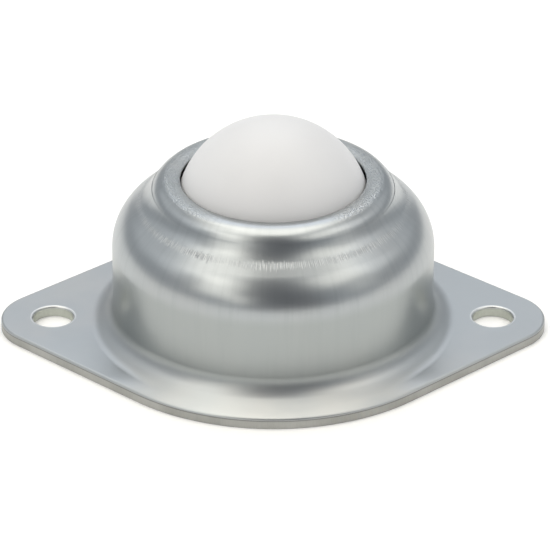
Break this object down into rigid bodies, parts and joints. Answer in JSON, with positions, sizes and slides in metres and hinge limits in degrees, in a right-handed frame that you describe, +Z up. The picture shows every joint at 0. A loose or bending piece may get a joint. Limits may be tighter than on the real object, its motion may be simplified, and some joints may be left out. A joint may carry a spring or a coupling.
{
  "type": "ball transfer unit",
  "caption": "Flange-mounted unit whose large ball turns freely in a bed of small balls, so that a load can move over it in any direction.",
  "frame": {"origin": "centre of the flange's underside, on the load ball's vertical axis", "axes": "+X through both fixing holes, +Z up out of the mounting face through the load ball's centre"},
  "size_m": [0.0716, 0.0524, 0.0298],
  "materials": {
    "housing_steel": "satin zinc plating on drawn sheet steel",
    "cup_steel": "hardened steel, smooth and slightly dark",
    "ring_steel": "satin zinc plating on pressed sheet steel",
    "bearing_steel": "polished bearing balls",
    "load_ball_nylon": "white nylon with a soft, ground surface"
  },
  "bodies": {
    "housing_assembly": {"housing": "housing_steel", "raceway_cup": "cup_steel", "base_ring": "ring_steel"},
    "pole_ball": {"bearing_ball_0_0": "bearing_steel"},
    "ball_bed": {"bearing_ball_1_0": "bearing_steel", "bearing_ball_1_1": "bearing_steel", "bearing_ball_1_2": "bearing_steel", "bearing_ball_1_3": "bearing_steel", "bearing_ball_1_4": "bearing_steel", "bearing_ball_1_5": "bearing_steel", "bearing_ball_2_0": "bearing_steel", "bearing_ball_2_1": "bearing_steel", "bearing_ball_2_2": "bearing_steel", "bearing_ball_2_3": "bearing_steel", "bearing_ball_2_4": "bearing_steel", "bearing_ball_2_5": "bearing_steel", "bearing_ball_2_6": "bearing_steel", "bearing_ball_2_7": "bearing_steel", "bearing_ball_2_8": "bearing_steel", "bearing_ball_2_9": "bearing_steel", "bearing_ball_2_10": "bearing_steel", "bearing_ball_2_11": "bearing_steel", "bearing_ball_3_0": "bearing_steel", "bearing_ball_3_1": "bearing_steel", "bearing_ball_3_2": "bearing_steel", "bearing_ball_3_3": "bearing_steel", "bearing_ball_3_4": "bearing_steel", "bearing_ball_3_5": "bearing_steel", "bearing_ball_3_6": "bearing_steel", "bearing_ball_3_7": "bearing_steel", "bearing_ball_3_8": "bearing_steel", "bearing_ball_3_9": "bearing_steel", "bearing_ball_3_10": "bearing_steel", "bearing_ball_3_11": "bearing_steel", "bearing_ball_3_12": "bearing_steel", "bearing_ball_3_13": "bearing_steel", "bearing_ball_3_14": "bearing_steel", "bearing_ball_3_15": "bearing_steel", "bearing_ball_3_16": "bearing_steel", "bearing_row_4": "bearing_steel", "bearing_row_5": "bearing_steel", "bearing_row_6": "bearing_steel"},
    "load_ball": {"load_ball": "load_ball_nylon"}
  },
  "joints": [
    {"name": "load_ball_turn", "type": "hinge", "parent": "housing_assembly", "child": "pole_ball", "pos_m": [0, 0, 0.0171], "axis": [0, 0, 1], "continuous": true},
    {"name": "load_ball_roll", "type": "hinge", "parent": "pole_ball", "child": "load_ball", "pos_m": [0, 0, 0.0171], "axis": [0, 1, 0], "continuous": true},
    {"name": "ball_bed_turn", "type": "hinge", "parent": "housing_assembly", "child": "ball_bed", "pos_m": [0, 0, 0.0171], "axis": [0, 0, 1], "continuous": true}
  ],
  "couplings": [
    {"joint": "ball_bed_turn", "follows": "load_ball_turn", "ratio": 0.4429}
  ]
}
